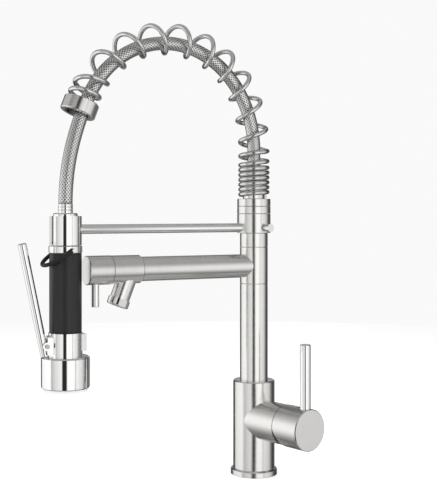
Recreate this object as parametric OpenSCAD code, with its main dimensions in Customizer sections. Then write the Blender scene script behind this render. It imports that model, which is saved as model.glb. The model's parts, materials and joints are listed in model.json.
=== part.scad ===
/* [Base and body] */
// Radius of the round flange that stands on the deck
flange_r = 25; // [24:0.5:27]
// Height of the flange
flange_h = 7; // [5:0.5:9]
// Radius of the mixer body
body_r = 22.4; // [22:0.1:22.8]
// Height of the top of the mixer body
body_top = 101; // [98:1:110]
// Height of the side housing's axis
hub_z = 60; // [58:1:62]
// Turn of the side housing away from the spout's line
hub_turn = 100; // [85:1:120]

/* [Column] */
// Outer radius of the column
column_r = 15; // [15:0.1:15.2]
// Radius of the swivel core inside the column
core_r = 13.5; // [13.3:0.1:13.5]
// Lower and upper height of the turning spout sleeve
sleeve_z = [205.2, 244]; // [200:0.1:250]

/* [Lower spout] */
// Height of the spout's axis
spout_z = 224; // [222:0.5:226]
// Outer radius of the spout tube
spout_r = 12.5; // [12:0.1:12.6]
// Distance from the column to the knob's outer face
spout_end = 196; // [190:1:197]
// Lean of the outlet branch, in degrees from vertical
outlet_lean = 22; // [15:1:25]

/* [Holder and spring] */
// Distance from the column to the spray head's axis
reach = 217.5; // [216.5:0.5:219]
// Height of the holder bar
bar_z = 265; // [265:0.5:266]
// Radius of the holder bar
bar_r = 4.75; // [4:0.25:5]
// Radius of the holder collar and its two rings
collar_r = 18; // [17.8:0.1:18.5]
// Outer radius of the spring
coil_r = 17; // [16.8:0.1:17.2]
// Thickness of the spring wire
wire = 4.8; // [4.4:0.1:4.9]

/* [Hose] */
// Radius of the braided hose
hose_r = 7; // [6:0.25:7]
// Height at which the hose starts to bend over
arch_z = 348; // [346:1:350]
// Half width and height of the arch
arch_half = [102, 108]; // [100:1:110]

/* [Spray head] */
// Radius of the black grip
grip_r = 15.9; // [15.5:0.1:16]
// Lower and upper height of the black grip
grip_z = [164, 242]; // [160:1:245]
// Radius of the spray head
head_r = 24; // [23:0.5:24.5]
// Lower and upper height of the spray head
head_z = [110, 141]; // [108:1:141]
// Radius of the squeeze lever
lever_r = 4.25; // [3.5:0.25:4.25]

/* [Hidden] */
$fn = 64;
eps = 0.02;
// gap between pieces that are only pushed together, and round a turning fit
snug = 0.05;
// the swivel core and the pieces on it
core_z = [190, 283.4];
collar_z = [259.4, 280];
ring_z = [280.2, 288, 296];
seal_z = [212, 236, 264, 274.5];
spigot_z = 312;
// the arch: where the hose leaves the spring seat, and the last angle of the arch
arch_end = 157;
riser = arch_z - ring_z[2];
arch_len = 287;
// how far the hose hangs off the spring's own line once it bends
hang = 4.4;
// spring: turns against distance along its line, close wound at the foot
coil_table = [[0, 2.6], [6.6, 37.3], [8, 52.5], [9, 75], [10, 102], [13, 179.5], [15, 238],
    [18, 324], [19, 333.6], [19.5, 336.2]];
coil_turns = 19.5;
coil_steps = 14;
nut_len = 14;
nut_r = [18, 13];
// the free drop of the hose, as four points of one curve
drop_end = [reach, 0, 290];
// handle: places along the side housing's axis
housing_end = 50;
hub_span = [51.2, 85];
hub_r = 21.5;
tilt_x = 47;
tilt_max = 20;
lever_x = 78;
rod_r = 5.5;
// spout valve: places along the spout's axis
valve_x = [137, 170.2];
knob_x = 170.8;
branch_x = 147.4;
branch_len = 32;
// squeeze lever: pivot and lean
pivot = [reach + 21.5, 152];
lever_lean = 12;
keeper_z = 245;
keeper_lean = 33;
keeper_reach = 27;
keeper_arm = 18.8;

// ---- shared shapes ----

// the spout, holder and spray head point along -Y
module to_sink() rotate([0, 0, -90]) children();

// along the side housing's axis, which becomes +X
module to_hub() to_sink() translate([0, 0, hub_z]) rotate([0, 0, hub_turn]) children();

module pipe(outer, inner, low, high) translate([0, 0, low]) difference() {
    cylinder(r = outer, h = high - low);
    translate([0, 0, -eps]) cylinder(r = inner, h = high - low + 2 * eps);
}

module rod(r, low, high) translate([0, 0, low]) cylinder(r = r, h = high - low);

// a cylinder along +X between two distances
module bar_x(r, from, to) translate([from, 0, 0]) rotate([0, 90, 0]) cylinder(r = r, h = to - from);

// a turned piece: pairs of radius and height, closed on its axis
module turned(points) rotate_extrude() polygon(points);

// ---- lines that the hose and spring follow ----

function clamp01(v) = min(1, max(0, v));
function smooth(v) = let(c = clamp01(v)) c * c * (3 - 2 * c);
function arch_angle(s) = clamp01((s - riser) / arch_len) * arch_end;
function hose_line(s) = s < riser ? [0, 0, ring_z[2] + s]
    : let(q = arch_angle(s)) [arch_half[0] * (1 - cos(q)), 0, arch_z + arch_half[1] * sin(q)];
function coil_line(s) = let(q = arch_angle(s))
    hose_line(s) + hang * smooth(q / 50) * [-cos(q), 0, sin(q)];
function unit(v) = v / norm(v);
function heading(s) = unit(coil_line(s + 0.5) - coil_line(s - 0.5));
// the helix round the spring's line, by turn
function coil_point(t) = let(s = lookup(t, coil_table), d = heading(s), n = [-d[2], 0, d[0]])
    coil_line(s) + (coil_r - wire / 2) * (cos(360 * t) * n - sin(360 * t) * [0, 1, 0]);
function bezier(p, t) = pow(1 - t, 3) * p[0] + 3 * t * pow(1 - t, 2) * p[1]
    + 3 * t * t * (1 - t) * p[2] + t * t * t * p[3];

arch_tip = hose_line(riser + arch_len);
tip_heading = unit([arch_half[0] * sin(arch_end), 0, arch_half[1] * cos(arch_end)]);
drop_curve = [arch_tip, arch_tip + 25 * tip_heading, drop_end + [0, 0, 45], drop_end];

// a tube of radius r round a list of points, with closed flat ends
module sweep(line, r, sides) {
    n = len(line);
    rings = [for (i = [0:n - 1])
        let(d = unit(line[min(i + 1, n - 1)] - line[max(i - 1, 0)]),
            side = unit(cross(d, abs(d[1]) < 0.9 ? [0, 1, 0] : [1, 0, 0])), up = cross(side, d))
        for (k = [0:sides - 1]) let(a = 360 * k / sides) line[i] + r * (cos(a) * side + sin(a) * up)];
    walls = [for (i = [0:n - 2]) for (k = [0:sides - 1])
        let(a = i * sides + k, b = i * sides + (k + 1) % sides) [a, b, b + sides, a + sides]];
    ends = [[for (k = [0:sides - 1]) sides - 1 - k], [for (k = [0:sides - 1]) (n - 1) * sides + k]];
    polyhedron(points = rings, faces = concat(walls, ends), convexity = 12);
}

// ---- base, body and column ----

module base_flange() color("silver") difference() {
    turned([[0, 0], [flange_r, 0], [flange_r, flange_h - 1.6], [flange_r - 1.6, flange_h], [0, flange_h]]);
    rod(body_r + snug, 1.4, flange_h + eps);
    rod(19.4, -eps, 2);
}

module deck_gasket() color("black") pipe(19.3, 17, 0, 1.4 - eps);

module mixer_body() color("silver") difference() {
    union() {
        rod(16.9, 0, 3);
        rod(body_r, 1.4 + eps, body_top - 1);
        translate([0, 0, body_top - 1]) cylinder(r1 = body_r, r2 = body_r - 1, h = 1);
        to_hub() bar_x(21, 0, housing_end);
    }
    // socket for the column, water space below it, and the seat of the cartridge
    rod(column_r + snug, 86, body_top + eps);
    rod(10, 34, 90);
    to_hub() bar_x(17.6, 14, housing_end + eps);
    // fixing stud and the two inlet sockets
    rod(4, -eps, 14);
    to_sink() for (side = [-1, 1]) translate([0, side * 11, 0]) rod(5, -eps, 12);
    to_sink() for (side = [-1, 1]) translate([0, side * 11, 0]) rod(2.5, 11, 34 + eps);
}

module column_tube() color("silver") pipe(column_r, core_r + snug, 86 + eps, sleeve_z[0] - 0.4);

module swivel_core() color("goldenrod") difference() {
    rod(core_r, core_z[0], core_z[1]);
    rod(5, core_z[0] - eps, 252);
    // grooves for the seals and the clip, and the port to the spout
    for (z = seal_z) pipe(core_r + 1, 11, z - 1.4, z + 1.4);
    pipe(core_r + 1, 12.2, 280.9, 282.3);
    to_sink() translate([0, 0, spout_z]) bar_x(5, 0, core_r + 1);
    rod(2.5, 250, core_z[1] + eps);
}

module swivel_seals() color("black") for (z = seal_z) translate([0, 0, z])
    rotate_extrude() translate([12.28, 0]) circle(r = 1.24, $fn = 32);

module upper_column_ring() color("silver")
    pipe(column_r, core_r + snug, sleeve_z[1] + 0.4, collar_z[0] - 0.4);

module retaining_clip() color("gray") difference() {
    pipe(15.2, 12.25, 281, 282.2);
    to_sink() translate([0, -4, 280]) cube([20, 8, 4]);
}

// ---- handle ----

module mixing_cartridge() color("white") to_hub() difference() {
    bar_x(17.5, 14 + eps, 42.6);
    bar_x(7, 13, 20);
}

module cartridge_nut() color("goldenrod") to_hub() difference() {
    bar_x(17.5, 43.2, 46.4);
    bar_x(12.6, 43, 47);
}

module cartridge_dome() color("silver") to_hub() translate([tilt_x, 0, 0]) rotate([0, 90, 0])
    turned([[15.4, 0], [17.5, 0], [17.1, 3.6], [15.8, 7.4], [13.7, 10.8], [10, 14.2], [10, 11.7],
        [12.2, 9.4], [14, 6.3], [15.1, 3]]);

module cartridge_turntable() color("dimgray") to_hub() difference() {
    bar_x(12, 42.8, 51);
    translate([tilt_x, 0, 0]) rotate([90, 0, 0]) cylinder(r = 3 + snug, h = 12, center = true);
    // the stem leans outward in this slot
    translate([tilt_x, -2.7, -4.6]) cube([5, 5.4, 7.4]);
}

module handle_stem() color("goldenrod") to_hub() {
    translate([tilt_x, 0, 0]) rotate([90, 0, 0]) cylinder(r = 3, h = 11.8, center = true);
    bar_x(2.2, tilt_x + 1, 68);
}

module handle_hub() color("silver") to_hub() difference() {
    union() {
        difference() {
            union() {
                bar_x(hub_r, hub_span[0], hub_span[1] - 0.8);
                translate([hub_span[1] - 0.8, 0, 0]) rotate([0, 90, 0])
                    cylinder(r1 = hub_r, r2 = hub_r - 0.8, h = 0.8);
            }
            bar_x(18.2, hub_span[0] - 1, 70);
        }
        bar_x(5.5, 66, 71);
    }
    bar_x(2.2 + snug, 60, 68.2);
    // the rim is cut back below so that the hub can lean
    translate([tilt_x, 0, 0]) rotate([0, -tilt_max, 0]) translate([-36, -30, -40]) cube([39.8, 60, 40]);
    // seat of the rod, and the relief behind it
    translate([lever_x, 0, 12]) cylinder(r = rod_r + snug, h = 20);
    translate([71, 0, 16]) cylinder(r = 1.3 + snug, h = 5);
    translate([68, -3, 19.6]) cube([6, 6, 4]);
}

module handle_rod() color("silver") to_hub() translate([lever_x, 0, 12 + eps]) {
    cylinder(r = rod_r, h = 74);
    translate([0, 0, 74]) cylinder(r1 = rod_r, r2 = rod_r - 0.8, h = 0.8);
}

module handle_grub_screw() color("dimgray") to_hub() translate([71, 0, 16]) difference() {
    cylinder(r = 1.3, h = 3.3);
    translate([0, 0, 1.8]) cylinder(r = 0.7, h = 2, $fn = 6);
}

// ---- lower spout ----

module spout_sleeve() color("silver") difference() {
    pipe(column_r, core_r + snug, sleeve_z[0], sleeve_z[1]);
    to_sink() translate([0, 0, spout_z]) bar_x(8, 8, 20);
}

module spout_tube() color("silver") to_sink() difference() {
    translate([0, 0, spout_z]) difference() {
        bar_x(spout_r, 2, 144);
        bar_x(spout_r - 1.5, 1, 145);
    }
    rod(column_r + eps, spout_z - 20, spout_z + 20);
}

module on_branch() translate([branch_x, 0, spout_z]) rotate([0, 180 - outlet_lean, 0]) children();

module spout_valve_body() color("silver") to_sink() difference() {
    union() {
        translate([0, 0, spout_z]) {
            bar_x(14.4, valve_x[0] + 1.5, valve_x[1]);
            translate([valve_x[0], 0, 0]) rotate([0, 90, 0]) cylinder(r1 = 13, r2 = 14.4, h = 1.5);
        }
        on_branch() cylinder(r = 10, h = branch_len);
    }
    translate([0, 0, spout_z]) bar_x(spout_r + snug, 136, 144 + snug);
    translate([0, 0, spout_z]) bar_x(10.5, 143, 171);
    on_branch() translate([0, 0, 6]) cylinder(r = 7.4, h = 40);
}

module spout_shutoff_valve() color("white") to_sink() translate([0, 0, spout_z]) difference() {
    bar_x(10.4, 158, 169.8);
    bar_x(3 + snug, 157, 171);
}

module spout_knob() color("silver") to_sink() translate([0, 0, spout_z]) difference() {
    union() {
        bar_x(14.6, knob_x, spout_end - 0.7);
        translate([spout_end - 0.7, 0, 0]) rotate([0, 90, 0]) cylinder(r1 = 14.6, r2 = 13.9, h = 0.7);
    }
    bar_x(11.8, knob_x - 1, 174);
    bar_x(3 + snug, 173, 180);
    translate([186, 0, -30]) cylinder(r = 4 + snug, h = 24);
}

module spout_knob_pin() color("silver") to_sink() translate([186, 0, spout_z]) {
    rod(4, -36, -6 - eps);
    translate([0, 0, -36.6]) cylinder(r1 = 3.4, r2 = 4, h = 0.6);
}

module spout_knob_stem() color("goldenrod") to_sink()
    translate([0, 0, spout_z]) bar_x(3, 159, 180 - eps);

module aerator_housing() color("silver") to_sink() on_branch() difference() {
    translate([0, 0, branch_len + eps]) intersection() {
        union() {
            cylinder(r = 11.2, h = 6.4);
            translate([0, 0, 6.4]) cylinder(r1 = 11.2, r2 = 10.4, h = 0.8);
        }
        translate([-13, -10.4, 0]) cube([26, 20.8, 8]);
    }
    translate([0, 0, branch_len - 1]) cylinder(r = 8.4, h = 10);
}

module aerator_insert() color("gray") to_sink() on_branch() translate([0, 0, branch_len]) difference() {
    cylinder(r = 8.4 - snug, h = 6.4);
    translate([0, 0, 5.2]) cylinder(r = 7.2, h = 2);
    for (i = [-2:2], j = [-2:2]) if (abs(i) + abs(j) < 4)
        translate([i * 2.6, j * 2.6, -1]) cylinder(r = 0.8, h = 8, $fn = 16);
}

// ---- holder ----

module holder_collar() color("silver") difference() {
    pipe(collar_r, core_r + snug, collar_z[0], collar_z[1]);
    to_sink() translate([0, 0, bar_z]) bar_x(bar_r + snug, 14.6, 20);
    to_sink() rotate([0, 0, 100]) translate([0, 0, bar_z]) bar_x(3 + snug, 14.2, 20);
}

module collar_thumb_screw() color("silver") to_sink() rotate([0, 0, 100]) translate([0, 0, bar_z]) {
    bar_x(3, 14.2 + eps, 21);
    bar_x(3.6, 18.4, 21);
    bar_x(4.4, 21 - eps, 27);
}

module spring_base_ring() color("silver") difference() {
    rod(collar_r, ring_z[0], ring_z[1] - 0.15);
    rod(15.6, ring_z[0] - eps, 284);
    rod(9.2, 280, 290);
}

module spring_seat() color("silver") difference() {
    union() {
        rod(collar_r, ring_z[1], ring_z[2]);
        rod(coil_r - wire - 0.5, ring_z[1], spigot_z);
    }
    rod(9.2, 287, spigot_z + 1);
}

module hose_fitting() color("goldenrod") difference() {
    rod(9.1, 284, 296);
    rod(3, 283, 297);
    rod(hose_r + snug, 290, 297);
}

module holder_bar() color("silver") to_sink() difference() {
    translate([0, 0, bar_z]) bar_x(bar_r, 14.6 + eps, reach - 10);
    translate([reach, 0, 0]) rod(16 + eps, 240, 290);
}

module slotted(outer, inner, low, high, slot) difference() {
    pipe(outer, inner, low, high);
    translate([0, -slot / 2, low - 1]) cube([outer + 5, slot, high - low + 2]);
}

module dock_cup() color("silver") to_sink() translate([reach, 0, 0]) slotted(16, 13.3, 249.6, 278, 15);

module dock_liner() color("black") to_sink() translate([reach, 0, 0])
    slotted(13.25, 12.5, 250.4, 277.4, 15.6);

// ---- spring and hose ----

module support_spring() color("silver") to_sink() {
    sweep([for (i = [0:coil_turns * coil_steps]) coil_point(i / coil_steps)], wire / 2, 8);
}

module at_nut() translate(coil_line(riser + arch_len))
    rotate([0, 180 - atan2(tip_heading[0], -tip_heading[2]), 0]) children();

module spring_end_nut() color("silver") to_sink() at_nut() difference() {
    union() {
        cylinder(r1 = nut_r[0] - 0.8, r2 = nut_r[0], h = 0.8);
        rod(nut_r[0], 0.8, nut_len - 0.8);
        translate([0, 0, nut_len - 0.8]) cylinder(r1 = nut_r[0], r2 = nut_r[0] - 0.8, h = 0.8);
    }
    rod(nut_r[1], -1, nut_len + 1);
}

module hose_upper() color("darkgray") to_sink()
    sweep([for (i = [0:40]) hose_line(-6 + (riser + arch_len + 5.3) * i / 40)], hose_r, 12);

module hose_drop() color("darkgray") to_sink()
    sweep([for (i = [0:16]) bezier(drop_curve, i / 16)], hose_r, 12);

module hose_ferrule() color("silver") to_sink()
    translate([reach, 0, 0]) rod(hose_r + 0.3, 281 + eps, 289.7);

// ---- spray head ----

module spray_neck() color("silver") to_sink() translate([reach, 0, 0]) difference() {
    turned([[0, 249.2], [12.1, 249.2], [12.1, 280], [11.1, 281], [0, 281]]);
    rod(5, 249, 281.5);
}

module keeper_ring() color("silver") to_sink() translate([reach, 0, 0]) difference() {
    pipe(16.5, 11.1, 242 + eps, 249);
    for (side = [-1, 1]) translate([0, 0, keeper_z]) rotate([side * 90, 0, 0])
        translate([0, 0, 13.8]) cylinder(r = 1.25, h = 4);
}

module spray_grip() color("black") to_sink()
    translate([reach, 0, 0]) pipe(grip_r, 11.1, grip_z[0] + eps, grip_z[1]);

module spray_waterway() color("white") to_sink() translate([reach, 0, 0]) difference() {
    rod(11, 143, 249 + eps);
    rod(6, 142, 250);
    // seat of the plunger
    translate([0, 0, 160]) bar_x(2.05, 0, 12);
}

module lever_collar() color("silver") to_sink() difference() {
    union() {
        translate([reach, 0, 0]) rod(16.7, head_z[1] + eps, grip_z[0]);
        // flat pad on the side away from the lever
        translate([reach - 18.6, -9, 146]) cube([6, 18, 16.5]);
        for (side = [-1, 1]) translate([reach, side > 0 ? 4.8 : -7, 143.5]) cube([21, 2.2, 17]);
        for (side = [-1, 1]) translate([pivot[0], side * 5.9, pivot[1]]) rotate([90, 0, 0])
            cylinder(r = 4, h = 2.2, center = true);
    }
    translate([reach, 0, 0]) rod(11.1, 140, 170);
    translate([pivot[0], 0, pivot[1]]) rotate([90, 0, 0]) cylinder(r = 1.55, h = 30, center = true);
    translate([reach, 0, 160]) bar_x(2.05, 8, 20);
}

module spray_head_shell() color("silver") to_sink() translate([reach, 0, 0]) difference() {
    turned([[0, head_z[0] + 6], [head_r - 2.4, head_z[0] + 6], [head_r - 2.4, head_z[0]],
        [head_r - 1, head_z[0]], [head_r, head_z[0] + 1.6], [head_r, head_z[1] - 1.6],
        [head_r - 2, head_z[1]], [0, head_z[1]]]);
    rod(11.1, head_z[0] + 20, head_z[1] + 1);
    rod(18, head_z[0] + 5, head_z[0] + 20.1);
}

module spray_face() color("whitesmoke") to_sink() translate([reach, 0, 0]) difference() {
    turned([[0, 106.4], [20.6, 106.4], [21.5, 107.4], [21.5, 115.8], [0, 115.8]]);
    rod(7, 106, 110);
    for (k = [0:11]) rotate([0, 0, 30 * k]) translate([11.5, 0, 0]) rod(1.3, 106, 110);
    for (k = [0:17]) rotate([0, 0, 20 * k]) translate([16.8, 0, 0]) rod(1.3, 106, 110);
}

module spray_nozzles() color("dimgray") to_sink() translate([reach, 0, 0]) {
    for (k = [0:11]) rotate([0, 0, 30 * k]) translate([11.5, 0, 0]) rod(1.25, 105.9, 110);
    for (k = [0:17]) rotate([0, 0, 20 * k]) translate([16.8, 0, 0]) rod(1.25, 105.9, 110);
}

module lever_pivot_pin() color("gray") to_sink() translate([pivot[0], 0, pivot[1]]) rotate([90, 0, 0]) {
    cylinder(r = 1.5, h = 15.4, center = true);
    for (side = [-1, 1]) translate([0, 0, side * 7.7]) cylinder(r = 2.2, h = 1.2, center = true);
}

// the lever's rod stands outside its pivot and leans outward
module spray_lever() color("silver") to_sink() difference() {
    union() {
        translate([pivot[0] + 2, 0, pivot[1]]) rotate([0, lever_lean, 0]) {
            rod(lever_r, -10, 101);
            translate([0, 0, 101]) cylinder(r1 = lever_r, r2 = lever_r - 0.8, h = 0.8);
        }
        translate([pivot[0], 0, pivot[1]]) rotate([90, 0, 0]) cylinder(r = 3.4, h = 8.6, center = true);
    }
    translate([pivot[0], 0, pivot[1]]) rotate([90, 0, 0]) cylinder(r = 1.55, h = 30, center = true);
}

module valve_plunger() color("goldenrod") to_sink() translate([reach, 0, 160]) bar_x(2, 7, 20.2);

module at_keeper() to_sink() translate([reach, 0, keeper_z]) rotate([0, keeper_lean, 0]) children();

module keeper_bail() color("black") at_keeper() difference() {
    union() {
        for (side = [-1, 1]) translate([0, side * keeper_arm, 0]) {
            bar_x(2, 0, keeper_reach - keeper_arm + eps);
            sphere(r = 2);
        }
        translate([keeper_reach - keeper_arm, 0, 0]) rotate([0, 0, -90]) rotate_extrude(angle = 180)
            translate([keeper_arm, 0]) circle(r = 2, $fn = 32);
    }
    rotate([90, 0, 0]) cylinder(r = 1.2, h = 60, center = true);
}

module keeper_pins() color("silver") at_keeper() for (side = [-1, 1]) rotate([side * 90, 0, 0])
    translate([0, 0, 13.9]) cylinder(r = 1.2 - eps / 2, h = 7.6);

base_flange();
deck_gasket();
mixer_body();
column_tube();
swivel_core();
swivel_seals();
upper_column_ring();
retaining_clip();
mixing_cartridge();
cartridge_nut();
cartridge_dome();
cartridge_turntable();
handle_hub();
handle_rod();
handle_stem();
handle_grub_screw();
spout_sleeve();
spout_tube();
spout_valve_body();
spout_shutoff_valve();
aerator_housing();
aerator_insert();
spout_knob();
spout_knob_pin();
spout_knob_stem();
holder_collar();
collar_thumb_screw();
spring_base_ring();
spring_seat();
hose_fitting();
holder_bar();
dock_cup();
dock_liner();
support_spring();
spring_end_nut();
hose_upper();
hose_drop();
hose_ferrule();
spray_neck();
keeper_ring();
spray_grip();
spray_waterway();
lever_collar();
spray_head_shell();
spray_face();
spray_nozzles();
lever_pivot_pin();
spray_lever();
valve_plunger();
keeper_bail();
keeper_pins();
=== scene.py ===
# %% [markdown]
# # Pull-down kitchen faucet
#
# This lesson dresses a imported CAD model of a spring-neck kitchen faucet. The CAD gives every
# size and every place. Here the spring, the braided hose and the turned trim are made again
# with finer shapes, and each piece gets a finish. We start by loading the CAD as a fixed frame.

# %% The frame
import json
import math

import bmesh
import bpy
from mathutils import Matrix, Vector


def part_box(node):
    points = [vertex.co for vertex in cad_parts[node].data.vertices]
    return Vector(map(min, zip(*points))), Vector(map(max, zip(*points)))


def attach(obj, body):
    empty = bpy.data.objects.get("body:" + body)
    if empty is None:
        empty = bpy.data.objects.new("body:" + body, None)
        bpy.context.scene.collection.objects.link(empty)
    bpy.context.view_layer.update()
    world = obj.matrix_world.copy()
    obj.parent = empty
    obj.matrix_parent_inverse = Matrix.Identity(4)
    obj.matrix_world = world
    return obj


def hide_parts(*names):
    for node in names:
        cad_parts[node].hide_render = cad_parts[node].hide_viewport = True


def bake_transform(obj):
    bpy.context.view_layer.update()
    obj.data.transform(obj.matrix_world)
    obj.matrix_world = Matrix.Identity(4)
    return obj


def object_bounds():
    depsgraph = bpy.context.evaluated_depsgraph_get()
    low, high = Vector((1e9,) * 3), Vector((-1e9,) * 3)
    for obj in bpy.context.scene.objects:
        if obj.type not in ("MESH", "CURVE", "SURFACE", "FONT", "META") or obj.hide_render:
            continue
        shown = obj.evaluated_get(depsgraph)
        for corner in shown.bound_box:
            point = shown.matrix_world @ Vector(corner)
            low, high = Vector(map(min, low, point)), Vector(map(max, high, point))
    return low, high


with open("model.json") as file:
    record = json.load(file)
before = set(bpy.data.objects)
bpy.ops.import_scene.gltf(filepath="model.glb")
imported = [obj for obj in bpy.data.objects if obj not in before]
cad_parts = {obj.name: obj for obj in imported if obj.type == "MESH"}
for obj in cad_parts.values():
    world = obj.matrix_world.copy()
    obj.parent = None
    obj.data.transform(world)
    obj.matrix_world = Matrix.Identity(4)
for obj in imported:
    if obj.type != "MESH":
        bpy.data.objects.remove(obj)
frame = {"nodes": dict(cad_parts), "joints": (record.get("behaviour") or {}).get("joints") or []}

cad_low, cad_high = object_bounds()
nodes = frame["nodes"]
print("nodes:", len(nodes), "box:", [round(v, 3) for v in cad_high])

# %% [markdown]
# ## Camera
#
# A long lens a little over a metre away keeps the column and the arch almost free of
# perspective. The lens is level, and the frame is shifted instead of tilted, as with a view
# camera, so that all upright lines stay upright.

# %% Camera
eye = Vector((0.934, -0.587, 0.284))
heading = Vector((-0.883, 0.4695, 0.0))
camera_data = bpy.data.cameras.new("camera")
camera_data.lens = 73.3
camera_data.sensor_width = 36.0
camera_data.shift_x = 0.077
camera_data.shift_y = -0.080
camera_data.clip_start = 0.01
camera = bpy.data.objects.new("camera", camera_data)
camera.location = eye
camera.rotation_euler = heading.to_track_quat("-Z", "Y").to_euler()
bpy.context.scene.collection.objects.link(camera)
bpy.context.scene.camera = camera
print("camera stands", round(eye.length, 2), "m from the foot")

# %% [markdown]
# ## Studio
#
# Polished metal has almost no look of its own: it shows the room. A studio for such metal is
# a ring of bright screens with narrow black cards between them, which draw the dark lines
# down each tube. The ring here is one wide hoop that glows by compass angle. The lens does not
# see it, only the metal does. Above it the world is soft grey.

# %% Socket helpers
def put(node, **values):
    for key, value in values.items():
        node.inputs[key.replace("_", " ")].default_value = value
    return node


def math_node(tree, operation, first, second=None):
    made = tree.nodes.new("ShaderNodeMath")
    made.operation = operation
    for index, value in enumerate((first, second)):
        if value is None:
            continue
        if isinstance(value, (int, float)):
            made.inputs[index].default_value = value
        else:
            tree.links.new(value, made.inputs[index])
    return made.outputs[0]


def ramp_node(tree, source, stops):
    made = tree.nodes.new("ShaderNodeValToRGB")
    line = made.color_ramp
    for index, (place, shade) in enumerate(stops):
        stop = line.elements[index] if index < 2 else line.elements.new(place)
        stop.position = place
        stop.color = (*shade, 1.0) if isinstance(shade, tuple) else (shade, shade, shade, 1.0)
    tree.links.new(source, made.inputs[0])
    return made.outputs[0]


# %% Ring of screens and cards
screens = [(-180, 0.30), (-152, 0.16), (-142, 0.02), (-128, 0.04), (-124, 0.72), (-100, 0.86),
           (-64, 0.95), (-57, 0.42), (-44, 0.60), (-14, 0.80), (-9, 0.02), (7, 0.02), (13, 0.96),
           (44, 0.98), (50, 0.50), (57, 0.82), (92, 0.60), (110, 0.14), (130, 0.02), (150, 0.14),
           (180, 0.30)]


def ring_shade(tree, spot):
    parts = tree.nodes.new("ShaderNodeSeparateXYZ")
    tree.links.new(spot, parts.inputs[0])
    angle = math_node(tree, "ARCTAN2", parts.outputs["Y"], parts.outputs["X"])
    share = math_node(tree, "ADD", math_node(tree, "DIVIDE", angle, 2 * math.pi), 0.5)
    return ramp_node(tree, share, [((degrees + 180) / 360, shade) for degrees, shade in screens])


lens_angle = math.atan2(eye.y, eye.x)
ring_radius = 1.6
ring_height = 3.4
screen_glow = bpy.data.materials.new("screen_glow")
screen_glow.use_nodes = True
glow = screen_glow.node_tree
glow.nodes.clear()
spot = glow.nodes.new("ShaderNodeTexCoord")
turn_to_lens = glow.nodes.new("ShaderNodeMapping")
turn_to_lens.inputs["Rotation"].default_value = (0.0, 0.0, -lens_angle)
glow.links.new(spot.outputs["Object"], turn_to_lens.inputs["Vector"])
light = put(glow.nodes.new("ShaderNodeEmission"), Strength=1.30)
rows = glow.nodes.new("ShaderNodeSeparateXYZ")
glow.links.new(spot.outputs["Object"], rows.inputs[0])
row = math_node(glow, "ADD", math_node(glow, "DIVIDE", rows.outputs["Z"], ring_height), 0.5)
fade = ramp_node(glow, row, [(0.02, 0.14), (0.22, 0.45), (0.40, 0.92), (0.50, 1.0), (0.62, 0.98),
                             (0.80, 0.55), (1.0, 0.36)])
tone = glow.nodes.new("ShaderNodeMix")
tone.data_type = "RGBA"
tone.blend_type = "MULTIPLY"
tone.inputs["Factor"].default_value = 1.0
glow.links.new(ring_shade(glow, turn_to_lens.outputs["Vector"]), tone.inputs["A"])
glow.links.new(fade, tone.inputs["B"])
glow.links.new(tone.outputs["Result"], light.inputs["Color"])
glow_out = glow.nodes.new("ShaderNodeOutputMaterial")
glow.links.new(light.outputs[0], glow_out.inputs["Surface"])

ring_shape = bmesh.new()
bmesh.ops.create_cone(ring_shape, cap_ends=False, radius1=ring_radius, radius2=ring_radius,
                      depth=ring_height, segments=160)
ring_mesh = bpy.data.meshes.new("screens")
ring_shape.to_mesh(ring_mesh)
ring_shape.free()
ring_mesh.materials.append(screen_glow)
ring = bpy.data.objects.new("screens", ring_mesh)
ring.visible_camera = False
ring.visible_shadow = False
bpy.context.scene.collection.objects.link(ring)

world = bpy.data.worlds.new("studio")
bpy.context.scene.world = world
world.use_nodes = True
sky = world.node_tree
sky.nodes.clear()
room = put(sky.nodes.new("ShaderNodeBackground"), Color=(0.42, 0.42, 0.42, 1.0), Strength=1.0)
backdrop = put(sky.nodes.new("ShaderNodeBackground"), Color=(0.95, 0.95, 0.95, 1.0), Strength=1.0)
rays = sky.nodes.new("ShaderNodeLightPath")
choose = sky.nodes.new("ShaderNodeMixShader")
sky.links.new(rays.outputs["Is Camera Ray"], choose.inputs[0])
sky.links.new(room.outputs[0], choose.inputs[1])
sky.links.new(backdrop.outputs[0], choose.inputs[2])
sky_out = sky.nodes.new("ShaderNodeOutputWorld")
sky.links.new(choose.outputs[0], sky_out.inputs[0])
bpy.context.scene.view_settings.view_transform = "Standard"
print("studio ring:", len(screens), "stops")


# %% Soft lights
def soft_light(name, place, size, watts):
    data = bpy.data.lights.new(name, "AREA")
    data.shape = "DISK"
    data.size = size
    data.energy = watts
    lamp = bpy.data.objects.new(name, data)
    lamp.location = place
    aim = Vector((0, -0.1, 0.25)) - Vector(place)
    lamp.rotation_euler = aim.to_track_quat("-Z", "Y").to_euler()
    lamp.visible_glossy = False
    bpy.context.scene.collection.objects.link(lamp)


soft_light("light_above", (0.3, -0.2, 1.9), 1.4, 14)
soft_light("light_left", (0.5, -1.6, 0.9), 0.9, 7)
soft_light("light_right", (1.3, 0.9, 0.8), 0.9, 7)

# %% [markdown]
# ## Finishes
#
# Brushed metal is mirror metal with thousands of fine scratches, all running the same way.
# A noise pattern stretched along the scratches and squeezed across them, fed to roughness and
# to a faint bump, gives that. Each run of tube is brushed round its own axis, so there is one
# finish for upright pieces, one for pieces along the spout and one for the handle's side.
# A second, broad noise stands for handling marks.


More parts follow.
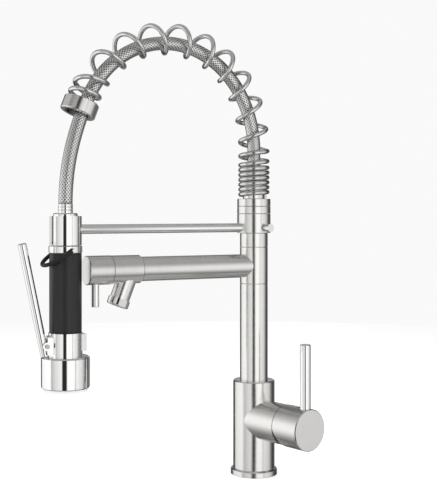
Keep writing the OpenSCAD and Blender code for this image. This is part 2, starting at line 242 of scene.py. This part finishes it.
# %% Finish helper
def finish(name, tint, roughness, metallic=0.0, stretch=(60, 60, 60), turn=0.0, bump=0.05,
           spread=0.06, shade=0.08, specular=0.5):
    made = bpy.data.materials.new(name)
    made.use_nodes = True
    tree = made.node_tree
    shader = tree.nodes["Principled BSDF"]
    put(shader, Metallic=metallic, Specular_IOR_Level=specular)
    place = tree.nodes.new("ShaderNodeTexCoord")
    lay = tree.nodes.new("ShaderNodeMapping")
    lay.vector_type = "TEXTURE"
    lay.inputs["Rotation"].default_value = (0.0, 0.0, turn)
    lay.inputs["Scale"].default_value = tuple(1.0 / value for value in stretch)
    tree.links.new(place.outputs["Object"], lay.inputs["Vector"])
    grain = put(tree.nodes.new("ShaderNodeTexNoise"), Scale=1.0, Detail=3.0)
    tree.links.new(lay.outputs["Vector"], grain.inputs["Vector"])
    marks = put(tree.nodes.new("ShaderNodeTexNoise"), Scale=38.0, Detail=2.0)
    tree.links.new(place.outputs["Object"], marks.inputs["Vector"])
    both = math_node(tree, "ADD", math_node(tree, "MULTIPLY", grain.outputs["Fac"], 0.7),
                     math_node(tree, "MULTIPLY", marks.outputs["Fac"], 0.3))
    rough = tree.nodes.new("ShaderNodeMapRange")
    put(rough, From_Min=0.3, From_Max=0.7, To_Min=roughness - spread, To_Max=roughness + spread)
    tree.links.new(both, rough.inputs["Value"])
    tree.links.new(rough.outputs["Result"], shader.inputs["Roughness"])
    dark = tuple(value * (1.0 - shade) for value in tint)
    shades = ramp_node(tree, both, [(0.35, dark), (0.65, tint)])
    tree.links.new(shades, shader.inputs["Base Color"])
    if bump:
        relief = put(tree.nodes.new("ShaderNodeBump"), Strength=bump, Distance=0.0002)
        tree.links.new(grain.outputs["Fac"], relief.inputs["Height"])
        tree.links.new(relief.outputs["Normal"], shader.inputs["Normal"])
    return made


# %% Finishes of this faucet
nickel = (0.83, 0.82, 0.80)
bright = (0.90, 0.90, 0.89)
tilt = next(joint for joint in frame["joints"] if joint["name"] == "temperature_turn")
hub_turn = math.atan2(tilt["axis"][1], tilt["axis"][0])
satin_upright = finish("satin_nickel_upright", nickel, 0.20, 1.0, (25, 25, 4200), bump=0.10)
satin_along = finish("satin_nickel_along", nickel, 0.22, 1.0, (25, 4200, 25), bump=0.10)
satin_side = finish("satin_nickel_side", nickel, 0.22, 1.0, (4200, 25, 25), hub_turn, bump=0.10)
polished = finish("bright_nickel", bright, 0.07, 1.0, (220, 220, 220), bump=0.0, spread=0.03,
                  shade=0.04)
polished_line = finish("bright_nickel_drawn", bright, 0.12, 1.0, (300, 300, 300), bump=0.02,
                       spread=0.04)
spring_wire = finish("spring_wire", (0.78, 0.78, 0.77), 0.20, 1.0, (160, 160, 160), bump=0.0,
                     spread=0.04)
screw_steel = finish("screw_steel", (0.50, 0.50, 0.50), 0.30, 1.0, (900, 900, 900), bump=0.1)
turned_brass = finish("turned_brass", (0.78, 0.57, 0.28), 0.26, 1.0, (30, 30, 3000), bump=0.15)
black_grip = finish("black_grip", (0.018, 0.018, 0.018), 0.34, 0.0, (1500, 1500, 1500),
                    bump=0.18, spread=0.05, shade=0.3, specular=0.32)
black_rubber = finish("black_rubber", (0.014, 0.014, 0.014), 0.42, 0.0, (900, 900, 900),
                      bump=0.12, shade=0.3, specular=0.25)
seal_rubber = finish("seal_rubber", (0.03, 0.03, 0.03), 0.55, 0.0, (700, 700, 700), bump=0.15)
black_nylon = finish("black_nylon", (0.035, 0.035, 0.035), 0.45, 0.0, (1200, 1200, 1200),
                     bump=0.12)
white_plastic = finish("white_plastic", (0.86, 0.86, 0.85), 0.38, 0.0, (1200, 1200, 1200),
                       bump=0.06)
grey_plastic = finish("grey_plastic", (0.42, 0.43, 0.44), 0.42, 0.0, (1200, 1200, 1200),
                      bump=0.08)
nozzle_rubber = finish("nozzle_rubber", (0.34, 0.35, 0.36), 0.55, 0.0, (1500, 1500, 1500),
                       bump=0.1)
print("finishes:", len(bpy.data.materials))

# %% [markdown]
# ## Braid
#
# The hose is sheathed in stainless braid: flat bundles of fine wire that wind round it both
# ways and pass over and under each other. The pattern reads the tube's own UV map, turns
# round the hose in U and metres along it in V, so that it follows every bend. Two slanted
# waves give the two sets of bundles, and the higher of the two is what shows.

# %% Braid finish
bundles = 14
bundle_pitch = 0.0036
wires_per_bundle = 4.0


def braid_finish(name):
    made = bpy.data.materials.new(name)
    made.use_nodes = True
    tree = made.node_tree
    shader = tree.nodes["Principled BSDF"]
    put(shader, Metallic=1.0, Roughness=0.27)
    place = tree.nodes.new("ShaderNodeUVMap")
    place.uv_map = "along"
    parts = tree.nodes.new("ShaderNodeSeparateXYZ")
    tree.links.new(place.outputs["UV"], parts.inputs[0])
    around = math_node(tree, "MULTIPLY", parts.outputs["X"], float(bundles))
    length = math_node(tree, "DIVIDE", parts.outputs["Y"], bundle_pitch)
    waves = []
    for operation in ("ADD", "SUBTRACT"):
        crossing = math_node(tree, operation, around, length)
        phase = math_node(tree, "MULTIPLY", crossing, 2 * math.pi)
        waves.append(math_node(tree, "COSINE", phase))
    weave = math_node(tree, "MAXIMUM", waves[0], waves[1])
    fine_around = math_node(tree, "MULTIPLY", around, wires_per_bundle)
    fine_length = math_node(tree, "MULTIPLY", length, wires_per_bundle)
    fine_sum = math_node(tree, "ADD", fine_around, fine_length)
    fine = math_node(tree, "SINE", math_node(tree, "MULTIPLY", fine_sum, 2 * math.pi))
    height = math_node(tree, "ADD", math_node(tree, "MULTIPLY", weave, 0.5),
                       math_node(tree, "MULTIPLY", fine, 0.06))
    # The base colour here is painted shade and painted highlight: the low places of the weave,
    # between the bundles, are darkened almost to black, and the crests are lightened almost to
    # white.
    painted_weave_shading = ramp_node(tree, math_node(tree, "MULTIPLY_ADD", height, 0.5), [
        (0.42, (0.12, 0.12, 0.12)), (0.60, (0.53, 0.53, 0.52)), (0.74, (0.95, 0.95, 0.94))])
    tree.links.new(painted_weave_shading, shader.inputs["Base Color"])
    relief = put(tree.nodes.new("ShaderNodeBump"), Strength=0.45, Distance=0.0004)
    tree.links.new(height, relief.inputs["Height"])
    tree.links.new(relief.outputs["Normal"], shader.inputs["Normal"])
    return made


braid = braid_finish("steel_braid")

# %% [markdown]
# ## Lines of the hose and the spring
#
# The hose climbs out of the column, follows a half ellipse over the arch and drops to the
# spray head. The spring winds round the same line, a little further out, because the hose
# rests on the inside of its coils. Both lines are walked by distance, in metres.

# %% Lines
seat_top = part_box("spring_seat")[0].z + 0.008
arch_foot = 0.348
riser = arch_foot - seat_top
arch_length = 0.287
arch_end = math.radians(157)
half_width = 0.102
half_height = 0.108
grip_low, grip_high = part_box("spray_grip")
reach = -(grip_low.y + grip_high.y) / 2
hang = 0.0044


def smooth_step(value):
    value = min(1.0, max(0.0, value))
    return value * value * (3 - 2 * value)


def arch_angle(distance):
    return min(1.0, max(0.0, (distance - riser) / arch_length)) * arch_end


def hose_point(distance):
    if distance < riser:
        return Vector((0.0, 0.0, seat_top + distance))
    turn = arch_angle(distance)
    outward = half_width * (1 - math.cos(turn))
    height = arch_foot + half_height * math.sin(turn)
    return Vector((0.0, -outward, height))


def spring_line(distance):
    turn = arch_angle(distance)
    out = Vector((0.0, math.cos(turn), math.sin(turn)))
    return hose_point(distance) + out * hang * smooth_step(math.degrees(turn) / 50)


print("arch tip:", [round(v, 4) for v in hose_point(riser + arch_length)])

# %% [markdown]
# ## Tube along a line
#
# A wire or hose of any bend is one circle of edges that is extruded again and again, each
# copy moved to the next point and turned to face along the line. Carrying the last ring's
# direction forward, instead of finding a new one each time, keeps the tube from twisting.


# %% Tube helper
def tube_mesh(name, points, radius, sides, closed_ends=True):
    shape = bmesh.new()
    across = None
    frames = []
    for index, point in enumerate(points):
        ahead = points[min(index + 1, len(points) - 1)] - points[max(index - 1, 0)]
        ahead.normalize()
        across = Vector((1.0, 0.0, 0.0)) if across is None else across
        across = (across - ahead * across.dot(ahead)).normalized()
        other = ahead.cross(across)
        frames.append(Matrix((
            (across.x, other.x, ahead.x, point.x), (across.y, other.y, ahead.y, point.y),
            (across.z, other.z, ahead.z, point.z), (0.0, 0.0, 0.0, 1.0))))
    first = bmesh.ops.create_circle(shape, cap_ends=closed_ends, radius=radius, segments=sides)
    verts = first["verts"]
    bmesh.ops.transform(shape, matrix=frames[0], verts=verts)
    edges = list({edge for vert in verts for edge in vert.link_edges})
    uv = shape.loops.layers.uv.new("along")
    along = 0.0
    for index in range(1, len(points)):
        grown = bmesh.ops.extrude_edge_only(shape, edges=edges)["geom"]
        verts = [part for part in grown if isinstance(part, bmesh.types.BMVert)]
        edges = [part for part in grown if isinstance(part, bmesh.types.BMEdge)
                 and all(vert in verts for vert in part.verts)]
        move = frames[index] @ frames[index - 1].inverted()
        bmesh.ops.transform(shape, matrix=move, verts=verts)
        step = (points[index] - points[index - 1]).length
        into = frames[index].inverted()
        for face in {face for vert in verts for face in vert.link_faces}:
            turns = []
            for loop in face.loops:
                view = into if loop.vert in verts else frames[index - 1].inverted()
                spot = view @ loop.vert.co
                turns.append(math.atan2(spot.y, spot.x) / (2 * math.pi) % 1.0)
            wraps = max(turns) - min(turns) > 0.5
            for loop, around in zip(face.loops, turns):
                around += 1.0 if wraps and around < 0.5 else 0.0
                loop[uv].uv = (around, along + (step if loop.vert in verts else 0.0))
        along += step
    if closed_ends:
        bmesh.ops.contextual_create(shape, geom=edges)
    bmesh.ops.recalc_face_normals(shape, faces=shape.faces)
    for face in shape.faces:
        face.smooth = len(face.verts) == 4
    mesh = bpy.data.meshes.new(name)
    shape.to_mesh(mesh)
    shape.free()
    return mesh


def show(name, mesh, material, body, slot, *stands_for):
    made = bpy.data.objects.new(name, mesh)
    bpy.context.scene.collection.objects.link(made)
    made.data.materials.append(material)
    if body:
        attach(made, body)
    if stands_for:
        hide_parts(*stands_for)
    return made


# %% [markdown]
# ## Support spring
#
# The spring is one bright drawn wire of 4.8 mm, wound close at its foot and drawn out over
# the arch. On a lathe it is wound on a bar; here a point runs round the spring's line, with
# the turns paced by a short table of turn against distance.

# %% Support spring
wire = 0.0048
coil_radius = 0.017
coil_turns = 19.5
pace = [(0.0, 0.0026), (6.6, 0.0373), (8.0, 0.0525), (9.0, 0.075), (10.0, 0.102), (13.0, 0.1795),
        (15.0, 0.238), (18.0, 0.324), (19.0, 0.3336), (coil_turns, 0.3362)]


def coil_distance(turn):
    for (from_turn, near), (to_turn, far) in zip(pace, pace[1:]):
        if turn <= to_turn:
            return near + (far - near) * (turn - from_turn) / (to_turn - from_turn)
    return pace[-1][1]


def coil_point(turn):
    distance = coil_distance(turn)
    ahead = (spring_line(distance + 0.0005) - spring_line(distance - 0.0005)).normalized()
    outward = Vector((0.0, ahead.z, -ahead.y))
    phase = 2 * math.pi * turn
    ring = math.cos(phase) * outward - math.sin(phase) * Vector((1.0, 0.0, 0.0))
    return spring_line(distance) + (coil_radius - wire / 2) * ring


steps_a_turn = 30
spring_steps = int(coil_turns * steps_a_turn)
coils = [coil_point(step / steps_a_turn) for step in range(spring_steps + 1)]
spring = show("support_spring_wire", tube_mesh("support_spring_wire", coils, wire / 2, 14),
              spring_wire, "holder", "spring_steel", "support_spring")
print("spring faces:", len(spring.data.polygons))

# %% [markdown]
# ## Braided hose
#
# The hose is held at both ends all its life, in the column and in the spray head, so it is
# part of the object and not a loose cord. Its upper run is stiff under the spring. Its free
# drop flexes as the head is pulled; here that piece is left fixed in place, tied to neither body.

# %% Braided hose
hose_radius = 0.007
hose_run = riser + arch_length
upper_line = [hose_point(-0.006 + (hose_run + 0.0053) * step / 90) for step in range(91)]
show("braided_hose_upper", tube_mesh("braided_hose_upper", upper_line, hose_radius, 28), braid,
     "holder", "braided_hose", "hose_upper")

tip = hose_point(hose_run)
tip_heading = Vector((0.0, -half_width * math.sin(arch_end), half_height * math.cos(arch_end)))
tip_heading.normalize()
drop_end = Vector((0.0, -reach, 0.290))
handles = [tip, tip + 0.025 * tip_heading, drop_end + Vector((0, 0, 0.045)), drop_end]


def drop_point(t):
    weights = ((1 - t) ** 3, 3 * t * (1 - t) ** 2, 3 * t * t * (1 - t), t ** 3)
    return sum((weight * point for weight, point in zip(weights, handles)), Vector())


drop_line = [drop_point(step / 44) for step in range(45)]
hose_drop = show("braided_hose_drop", tube_mesh("braided_hose_drop", drop_line, hose_radius, 28),
                 braid, None, "braided_hose", "hose_drop")
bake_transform(hose_drop)
print("drop length:", round(sum((b - a).length for a, b in zip(drop_line, drop_line[1:])), 3), "m")

# %% [markdown]
# ## Turned pieces
#
# Flanges, rings, collars and shells like these are cut on a lathe. The half outline is drawn
# as a few points of radius and height, and spin carries it once round. The sharp corners are
# then bevelled, because a lathe hand always breaks the edges, and that thin edge catches the
# light. Weighted normals keep the flat faces flat beside the small bevels.


# %% Lathe helper
def turned(name, outline, centre, body, slot, material, nodes_replaced, rounding=0.4, hollow=True,
           axis=(0, 0, 1), steps=96):
    shape = bmesh.new()
    verts = [shape.verts.new((radius / 1000, 0.0, height / 1000)) for radius, height in outline]
    pairs = list(zip(verts, verts[1:]))
    if hollow:
        pairs.append((verts[-1], verts[0]))
    edges = [shape.edges.new(pair) for pair in pairs]
    bmesh.ops.spin(shape, geom=verts + edges, cent=(0, 0, 0), axis=(0, 0, 1), angle=2 * math.pi,
                   steps=steps, use_merge=True, use_duplicate=False)
    bmesh.ops.remove_doubles(shape, verts=shape.verts, dist=0.000001)
    bmesh.ops.recalc_face_normals(shape, faces=shape.faces)
    if rounding:
        corners = [edge for edge in shape.edges
                   if len(edge.link_faces) == 2 and edge.calc_face_angle() > math.radians(30)]
        bmesh.ops.bevel(shape, geom=corners, offset=rounding / 1000, offset_type="OFFSET",
                        affect="EDGES", segments=3, profile=0.5, material=-1, clamp_overlap=True)
    place = Matrix.Translation(centre) @ Vector(axis).to_track_quat("Z", "Y").to_matrix().to_4x4()
    bmesh.ops.transform(shape, matrix=place, verts=shape.verts)
    for face in shape.faces:
        face.smooth = True
    mesh = bpy.data.meshes.new(name)
    shape.to_mesh(mesh)
    shape.free()
    made = show(name, mesh, material, body, slot, *nodes_replaced)
    even = made.modifiers.new("even_normals", "WEIGHTED_NORMAL")
    even.keep_sharp = True
    return made


def sleeve(node, bore, body, slot, material, rounding=0.3):
    low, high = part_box(node)
    outer = (high.x - low.x) * 500
    centre = ((low.x + high.x) / 2, (low.y + high.y) / 2, low.z)
    height = (high.z - low.z) * 1000
    outline = [(bore, 0), (outer, 0), (outer, height), (bore, height)]
    return turned(node + "_turned", outline, centre, body, slot, material, [node], rounding)


# %% Column and its rings
foot = (0, 0, 0)
turned("base_flange_turned", [(19.4, 0), (25, 0), (25, 5.4), (23.4, 7), (22.5, 7), (22.5, 1.4),
       (19.4, 1.4)], foot, "base", "brushed_nickel", satin_upright, ["base_flange"], 0.35)
sleeve("column_tube", 13.6, "base", "brushed_nickel", satin_upright, 0.25)
sleeve("spout_sleeve", 13.6, "spout", "brushed_nickel", satin_upright, 0.25)
sleeve("upper_column_ring", 13.6, "base", "brushed_nickel", satin_upright, 0.25)
sleeve("holder_collar", 13.6, "holder", "brushed_nickel", satin_upright, 0.5)
sleeve("spring_base_ring", 9.2, "holder", "brushed_nickel", satin_upright, 0.4)
turned("spring_seat_turned", [(9.2, 288), (18, 288), (18, 296), (11.7, 296), (11.7, 312),
       (9.2, 312)], foot, "holder", "brushed_nickel", satin_upright, ["spring_seat"], 0.5)

# %% [markdown]
# ## Spray head
#
# The head hangs from a crimped ferrule. Below it are the neck that sits in the dock, the ring
# that holds the rubber keeper, the black grip, the lever's collar and the wide head.

# %% Spray head turnings
hang_line = (0, -reach, 0)
crimps = [(7.3, 281.1), (7.3, 283.4), (7.06, 283.7), (7.06, 284.3), (7.3, 284.6),
          (7.3, 286.4), (7.06, 286.7), (7.06, 287.3), (7.3, 287.6), (7.3, 289.3), (7.1, 289.7),
          (5.6, 289.7), (5.6, 281.1)]
turned("hose_ferrule_crimped", crimps, hang_line, "sprayer", "polished_nickel", polished,
       ["hose_ferrule"], 0.08)
turned("spray_neck_turned", [(5, 249.2), (12.1, 249.2), (12.1, 280), (11.1, 281), (5, 281)],
       hang_line, "sprayer", "polished_nickel", polished, ["spray_neck"], 0.4)
turned("keeper_ring_turned", [(11.1, 242.05), (16.5, 242.05), (16.5, 249), (11.1, 249)],
       hang_line, "sprayer", "polished_nickel", polished, ["keeper_ring"], 0.7)
grip_outline = [(11.1, 164), (15.9, 164), (15.9, 165.2), (15.7, 165.4), (15.7, 165.9),
                (15.9, 166.1), (15.9, 239.9), (15.7, 240.1), (15.7, 240.6), (15.9, 240.8),
                (15.9, 242), (11.1, 242)]
turned("spray_grip_turned", grip_outline, hang_line, "sprayer", "black_grip", black_grip,
       ["spray_grip"], 0.12)
head_outline = [(21.6, 110), (23.2, 110), (24, 111.4), (24, 139.6), (22.4, 141), (11.1, 141),
                (11.1, 139), (18, 130), (18, 116), (21.6, 116)]
turned("spray_head_turned", head_outline, hang_line, "sprayer", "polished_nickel", polished,
       ["spray_head_shell"], 0.5)

# %% [markdown]
# ## Finishes on the CAD pieces
#
# The other pieces have the right shape already. Each one takes the finish that suits how it
# is made, inside pieces included, because a library part is also opened up and looked into.

# %% CAD finishes
dressing = {
    satin_upright: ["mixer_body", "spring_end_nut"],
    satin_along: ["spout_tube", "spout_valve_body", "spout_knob"],
    satin_side: ["handle_hub", "cartridge_dome"],
    polished: ["holder_bar", "handle_rod", "spout_knob_pin", "collar_thumb_screw", "dock_cup",
               "lever_collar", "spray_lever", "aerator_housing", "keeper_pins", "valve_plunger"],
    turned_brass: ["swivel_core", "cartridge_nut", "handle_stem", "spout_knob_stem",
                   "hose_fitting"],
    seal_rubber: ["deck_gasket", "swivel_seals"],
    screw_steel: ["retaining_clip", "handle_grub_screw", "lever_pivot_pin"],
    white_plastic: ["mixing_cartridge", "spout_shutoff_valve", "spray_waterway", "spray_face"],
    grey_plastic: ["aerator_insert", "cartridge_turntable"],
    black_nylon: ["dock_liner"],
    nozzle_rubber: ["spray_nozzles"],
    black_rubber: ["keeper_bail"],
}
for material, names in dressing.items():
    for name in names:
        nodes[name].data.materials.clear()
        nodes[name].data.materials.append(material)
spare = {"support_spring": spring_wire, "hose_upper": polished_line, "hose_drop": polished_line}
for name, node in nodes.items():
    if not any(name in names for names in dressing.values()):
        node.data.materials.clear()
        node.data.materials.append(spare.get(name, satin_upright))
print("dressed:", sum(len(names) for names in dressing.values()))

# %% [markdown]
# ## Floor
#
# A plain pale disc catches the soft shadow of the foot.

# %% Floor
floor_shape = bmesh.new()
bmesh.ops.create_circle(floor_shape, cap_ends=True, radius=1.5, segments=128)
floor_mesh = bpy.data.meshes.new("floor")
floor_shape.to_mesh(floor_mesh)
floor_shape.free()
floor = bpy.data.objects.new("floor", floor_mesh)
floor.location = (0, 0, cad_low.z)
bpy.context.scene.collection.objects.link(floor)
pale_floor = finish("pale_floor", (0.86, 0.86, 0.86), 0.75, 0.0, (4, 4, 4), bump=0.0, shade=0.01)
put(pale_floor.node_tree.nodes["Principled BSDF"], Emission_Color=(1.0, 1.0, 1.0, 1.0),
    Emission_Strength=0.56)
floor_mesh.materials.append(pale_floor)
floor.visible_glossy = False
